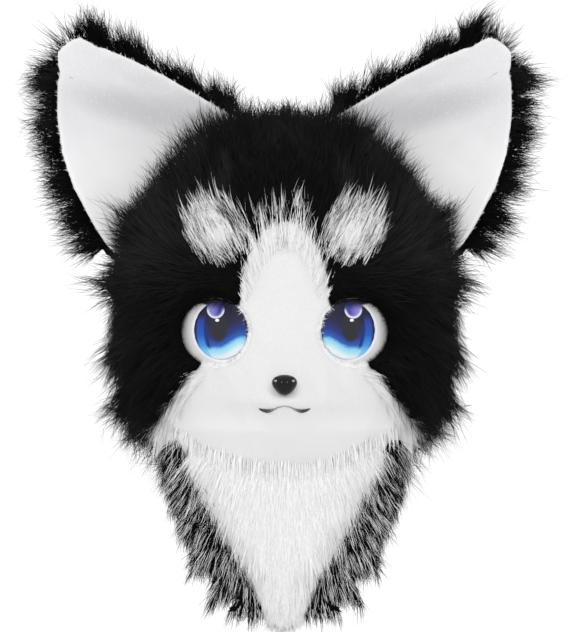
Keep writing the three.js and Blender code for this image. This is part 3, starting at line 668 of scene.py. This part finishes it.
def ear_strands(side, skin, plush, material):
    """Outwards along the outer rim, towards the tip along the inner rim and up the back."""
    def share(p, n):
        across, along, _, _ = ear_frame(p)
        rim = rim_profile(along, np.abs(across))
        return (along > 4 * MM) * (1 + 5 * smoothstep(0.02, 0.0, rim - np.abs(across)))

    roots = Roots(skin.data, 14500, 21 if side == "left" else 22, share)
    roots.keep(gap_to(roots, plush, 6 * MM) > 2.2 * MM)
    roots.keep(~behind(roots, plush))
    across, along, out, up = ear_frame(roots.at)
    outer = smoothstep(-0.01, 0.03, across)[:, None]
    high = np.clip(along / EAR_REACH, 0, 1)[:, None]
    flow = unit(outer * (out + up * (0.25 + 0.5 * high)) + (1 - outer) * (up * 0.9 - out * 0.35))
    rear = smoothstep(0.2, 0.8, roots.out[:, 1])
    lift = (0.55 + 0.5 * outer[:, 0]) * (1 - rear) + 0.45 * rear
    strands("ear_strands_" + side, "black_fur", material, roots, flow, (32 - 4 * high[:, 0]) * MM, lift,
            clump=0.45, clump_size=6 * MM, spread=0.3)


def ear_root_strands(side, skin, hood, material):
    """Fur that falls from the back of an ear over its joint with the hood."""
    roots = Roots(skin.data, 7000, 25 if side == "left" else 26, lambda p, n: 1.0 * (n[:, 1] > -0.3))
    roots.keep(gap_to(roots, hood, 12 * MM) < 10 * MM)
    _, _, _, up = ear_frame(roots.at)
    strands("ear_root_strands_" + side, "black_fur", material, roots, np.array([0, 0.4, 0]) - up,
            np.full(len(roots.at), 17 * MM), np.full(len(roots.at), 0.6), segments=2)


def plush_strands(side, skin, material):
    """The lining's short pile, combed out and up the ear."""
    roots = Roots(skin.data, 9000, 31 if side == "left" else 32, lambda p, n: 1.0 * (n[:, 1] < -0.1))
    across, _, out, up = ear_frame(roots.at)
    flow = unit(out * np.clip(across / 0.05, -1, 1)[:, None] * 0.6 + up)
    strands("ear_pile_" + side, "white_plush", material, roots, flow, np.full(len(roots.at), 3.6 * MM),
            np.full(len(roots.at), 0.35), segments=2, clump=0.2, clump_size=3 * MM, tone=(0.6, 1.0))


def from_nose(at):
    """Distance from the nose across the face."""
    return np.hypot(at[:, 0], at[:, 2] - NOSE_TIP[2])


def face_flow(at):
    """Away from the nose, and down and outward below the eyes."""
    out = unit(at - NOSE_TIP)
    down = smoothstep(-0.15, -0.2, at[:, 2])[:, None]
    fall = unit(np.stack([at[:, 0] * 6, 0 * at[:, 0], -1 + 0 * at[:, 0]], axis=1))
    return unit(out * (1 - down) + fall * down)


def face_pile(skin, material):
    """Short fur all over the face."""
    def share(p, n):
        return (outside(p, n) * (0.4 + smoothstep(0.05, 0.1, from_nose(p)))
                * (1 - 0.5 * smoothstep(-0.08, -0.06, p[:, 2])))

    roots = Roots(skin.data, 18000, 41, share)
    length = (2.4 + 6 * smoothstep(0.07, 0.12, from_nose(roots.at))) * MM
    lift = np.full(len(roots.at), 0.25)
    strands("face_pile", "white_fur", material, roots, face_flow(roots.at), length, lift, segments=2,
            clump=0.2, clump_size=4 * MM, tone=(0.7, 1.0))


def face_edge_strands(skin, hood, material):
    """Longer fur along the panel's edge that lies over the black beside it, longest above the blaze."""
    roots = Roots(skin.data, 26000, 42, lambda p, n: 1.0 * outside(p, n))
    gap = gap_to(roots, hood, 24 * MM)
    from_eye = np.hypot(np.abs(roots.at[:, 0]) - EYE_MIDDLE[0], roots.at[:, 2] - EYE_MIDDLE[1])
    high = smoothstep(-0.12, -0.07, roots.at[:, 2])
    kept = (gap < (11 + 9 * high) * MM) & (from_eye > 31 * MM)
    high = high[kept]
    roots.keep(kept)
    low = smoothstep(-0.2, -0.225, roots.at[:, 2])
    length = (14 + 18 * high + 14 * low) * MM
    lift = 0.62 - 0.2 * high
    strands("face_edge_strands", "white_fur", material, roots, face_flow(roots.at), length, lift, spread=0.12,
            curl=0.08, clump=0.65, clump_size=3.5 * MM, tone=(0.4, 1.0))


def jaw_strands(skin, bib_pieces, material):
    """Fur that falls from the jaw over the top of the bib."""
    roots = Roots(skin.data, 30000, 43, lambda p, n: outside(p, n) * (p[:, 2] < -0.185))
    gap = np.min([gap_to(roots, piece, 24 * MM) for piece in bib_pieces], axis=0)
    kept = gap < 18 * MM * (0.15 + 0.85 * roots.random.random(len(gap)))
    roots.keep(kept)
    roots.lean = np.array([0, -0.9, 0.2])
    strands("jaw_strands", "white_fur", material, roots, face_flow(roots.at), gap[kept] + 13 * MM,
            np.full(len(roots.at), 0.4), droop=0.3, spread=0.1, curl=0.05, width=0.6 * MM, tone=(0.8, 1.0))


def spot_strands(side, skin, material):
    """White fur on a brow spot."""
    roots = Roots(skin.data, 560, 51 if side == "left" else 52, lambda p, n: 1.0 * outside(p, n))
    spot_hair("spot_strands_" + side, roots, material)


def bib_flow(at):
    """Down, and outward towards the bib's edges."""
    return unit(np.stack([at[:, 0] * 7, -0.1 + 0 * at[:, 0], -1.0 + 0 * at[:, 0]], axis=1))


def near_spot_strands(side, hood, spot, material):
    """Scattered white fur in the black round a spot."""
    middle = sum((Vector(c) for c in spot.bound_box), Vector()) / 8
    reach = 14 * MM

    def share(p, n):
        return outside(p, n) * (np.hypot(p[:, 0] - middle.x, p[:, 2] - middle.z) < 32 * MM)

    roots = Roots(hood.data, 9000, 53 if side == "left" else 54, share)
    roots.keep(gap_to(roots, spot, reach) < reach * roots.random.random(len(roots.at)) ** 1.8)
    spot_hair("near_" + spot.name, roots, material)


def spot_hair(name, roots, material):
    """Fine hair that fans up and outward."""
    out = np.sign(roots.at[:, 0])
    flow = unit(np.stack([out * 0.5, 0 * out, 0 * out + 1.0], axis=1))
    length, lift = np.full(len(roots.at), 19 * MM), np.full(len(roots.at), 0.4)
    strands(name, "white_fur", material, roots, flow, length, lift, spread=0.1,
            curl=0.06, width=0.35 * MM, clump=0.65, clump_size=2.5 * MM, tone=(0.1, 1.0))


def eye_edge_strands(side, skin, plate, slot, material, reach, tone):
    """Short fur that leans over the edge of an eye."""
    sign = 1 if side == "left" else -1
    across, up = sign * EYE_MIDDLE[0], EYE_MIDDLE[1]

    def share(p, n):
        return outside(p, n) * (np.hypot(p[:, 0] - across, p[:, 2] - up) < 0.028 + reach)

    roots = Roots(skin.data, 12000, 55 + sign, share)
    roots.keep(gap_to(roots, plate, 2 * reach) < reach)
    flow = unit(np.array([across, 0, up]) - roots.at * [1, 0, 1])
    length, lift = np.full(len(roots.at), 5.5 * MM), np.full(len(roots.at), 0.15)
    strands(skin.name + "_eye_edge_" + side, slot, material, roots, flow, length, lift, segments=2, tone=tone)


def bib_edge_share(at):
    """Where the white fur of the bib borders its black bands."""
    middle = 0.085 * smoothstep(-0.375, -0.215, at[:, 2])
    return smoothstep(0.016, 0.004, np.maximum(middle, 0.012) - np.abs(at[:, 0]))


def bib_strands(name, slot, skin, material, count, seed, length, lift, tone, share=None, clump=0.5,
                shorter=0.6, width=0.45 * MM, segments=3):
    """Fur that hangs down and outward, shorter towards the bib's tip."""
    def front(p, n):
        return (n[:, 1] < 0.35) * (n[:, 2] < 0.5) * (1.0 if share is None else share(p))

    roots = Roots(skin.data, count, seed, front)
    edge = smoothstep(0.02, 0.07, np.abs(roots.at[:, 0]))
    tip = smoothstep(-0.3, -0.365, roots.at[:, 2])
    underside = smoothstep(-0.35, -0.8, roots.out[:, 2])
    strands(name, slot, material, roots, bib_flow(roots.at), length * (1 + 0.1 * edge - shorter * tip),
            lift + 0.25 * edge + 1.1 * underside, spread=0.14, curl=0.08, clump=clump, clump_size=5 * MM,
            droop=0.08, width=width, segments=segments, tone=tone)


# Building

black_ground = pile_material("black_ground", linear(3, 3, 4), linear(9, 9, 10),
                             specular=0.05, height=0.8 * MM)
white_ground = pile_material("white_ground", linear(205, 205, 205), linear(217, 217, 217),
                             specular=0.1, height=0.4 * MM)
plush_ground = plush_material("plush_ground")
black_hair = strand_material("black_hair", linear(2, 2, 3), linear(12, 12, 13), roughness=0.6, specular=0.05)
white_hair = strand_material("white_hair", linear(214, 214, 214), linear(239, 239, 239),
                             roughness=0.75, specular=0.1)
plush_hair = strand_material("plush_hair", linear(216, 216, 218), linear(234, 234, 236),
                             roughness=0.8, specular=0.1)


def build_eye(side, hood, face):
    """The plate, the short fur over its edge and the printed disc."""
    plate = dressed("eye_white_" + side, "eye_white_plate_" + side, white_of_eye,
                    voxel=1.4 * MM, passes=4)
    eye_edge_strands(side, face, plate, "white_fur", white_hair, reach=6 * MM, tone=(0.9, 1.0))
    eye_edge_strands(side, hood, plate, "black_fur", black_hair, reach=8 * MM, tone=(0.2, 1.0))
    dressed("iris_" + side, "iris_disc_" + side, iris_print, voxel=0.75 * MM, passes=5)


def build_brow_spot(side, hood):
    low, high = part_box("brow_spot_" + side)
    ground = spot_material("spot_ground_" + side, (low + high) / 2)
    spot = dressed("brow_spot_" + side, "spot_skin_" + side, ground, voxel=1.5 * MM, passes=6)
    spot_strands(side, spot, white_hair)
    near_spot_strands(side, hood, spot, white_hair)


def build_ear(side, hood):
    """The dished ear, its lining and the fur of both."""
    ear = dressed("ear_" + side, "ear_skin_" + side, black_ground, voxel=3 * MM, passes=6)
    without_locks(ear)
    plush = dressed("ear_plush_" + side, "ear_lining_" + side, plush_ground,
                    voxel=1.8 * MM, passes=4, swell=0.9 * MM)
    rounded_tip(plush, room=18 * MM, reach=9 * MM)
    stood_out(plush, 1.2 * MM)
    ear_strands(side, ear, plush, black_hair)
    ear_root_strands(side, ear, hood, black_hair)
    plush_strands(side, plush, plush_hair)


def build_band(side):
    """Black fur along an edge of the bib, with white hairs among it."""
    sign = 1 if side == "left" else -1
    band = dressed("bib_band_" + side, "band_skin_" + side, black_ground,
                   voxel=2.5 * MM, passes=30)
    drawn_up(band, level=-0.336, room=24 * MM)
    bib_strands("band_strands_" + side, "black_fur", band, black_hair, 6000, 60 + sign,
                length=18 * MM, lift=0.22, tone=(0.2, 1.0), shorter=0.15)
    bib_strands("band_white_" + side, "white_fur", band, white_hair, 1150, 64 + sign,
                length=20 * MM, lift=0.35, tone=(0.0, 0.9), shorter=0.25, width=0.35 * MM)
    return band


foam = dressed("head_base", "foam_form", foam_material(), voxel=6.5 * MM, passes=3)
hood = dressed("hood_fur", "hood_skin", black_ground, voxel=5.5 * MM, passes=9, swell=0.3 * MM)
face = dressed("face_fur", "face_skin", face_material(), voxel=2.4 * MM, passes=6)
hood_strands(hood, black_hair)
face_pile(face, white_hair)
face_edge_strands(face, hood, white_hair)

white_of_eye = white_of_eye_material()
iris_print = iris_material()
bands = []
for side in ("left", "right"):
    build_eye(side, hood, face)
    build_brow_spot(side, hood)
    build_ear(side, hood)
    bands.append(build_band(side))

bib = dressed("bib_fur", "bib_skin", white_ground, voxel=2.5 * MM, passes=12)
jaw_strands(face, [bib] + bands, white_hair)
dressed("nose", "nose_button", nose_material(), voxel=0.6 * MM, passes=10, swell=0.6 * MM)
# the mouth: a dark strip of painted shade in its slit
dressed("mouth_line", "mouth_shade_strip", mouth_material(), voxel=0.5 * MM, passes=6)
bib_strands("bib_strands", "white_fur", bib, white_hair, 13000, 71,
            length=18 * MM, lift=0.08, tone=(0.9, 1.0), clump=0.1, segments=2)
bib_strands("bib_edge_strands", "white_fur", bib, white_hair, 3600, 72,
            length=24 * MM, lift=0.4, tone=(0.5, 1.0), share=bib_edge_share)

backing = dressed("bib_backing", "bib_cloth", cloth_material(), voxel=1.9 * MM, passes=4)
drawn_up(backing, level=-0.34, room=25 * MM)


# Stage, lights and camera

def stage_floor():
    mesh = bpy.data.meshes.new("floor")
    half, level = 6.0, cad_box[0].z - 0.06
    corners = ((-half, -half), (half, -half), (half, half), (-half, half))
    mesh.from_pydata([(x, y, level) for x, y in corners], [], [(0, 1, 2, 3)])
    surface = Surface("floor_paint", 0.9, 0.1)
    surface.colour(surface.ramp(surface.noise(4.0),
                                [(0.3, (0.95, 0.95, 0.95, 1)), (0.7, (0.97, 0.97, 0.97, 1))]))
    mesh.materials.append(surface.material)
    floor = bpy.data.objects.new("floor", mesh)
    bpy.context.scene.collection.objects.link(floor)


def area_light(name, place, size, energy):
    data = bpy.data.lights.new(name, "AREA")
    data.shape = "DISK"
    data.size = size
    data.energy = energy
    lamp = bpy.data.objects.new(name, data)
    lamp.location = place
    lamp.rotation_euler = (Vector((0, 0, -0.12)) - Vector(place)).to_track_quat("-Z", "Y").to_euler()
    bpy.context.scene.collection.objects.link(lamp)
    return lamp


def studio():
    world = bpy.data.worlds.new("studio")
    world.use_nodes = True
    world.node_tree.nodes["Background"].inputs["Color"].default_value = (1, 1, 1, 1)
    world.node_tree.nodes["Background"].inputs["Strength"].default_value = 1.06
    bpy.context.scene.world = world
    area_light("key", (-0.8, -2.0, 1.2), size=0.5, energy=10)
    area_light("fill", (0.8, -2.0, 1.2), size=0.5, energy=8)
    for name, across in (("shine_left", 1.3), ("shine_right", -1.3)):
        shine = area_light(name, (across, -0.2, 0.6), size=0.7, energy=23)
        shine.visible_diffuse = False  # it shows in gloss alone, such as the nose
    bpy.context.scene.view_settings.view_transform = "Standard"


def photo_camera():
    data = bpy.data.cameras.new("camera")
    data.sensor_width = 36
    data.lens = 178
    data.clip_end = 50
    camera = bpy.data.objects.new("camera", data)
    camera.location = CAMERA_PLACE
    camera.rotation_euler = (math.pi / 2, 0, 0)
    bpy.context.scene.collection.objects.link(camera)
    bpy.context.scene.camera = camera


stage_floor()
studio()
photo_camera()
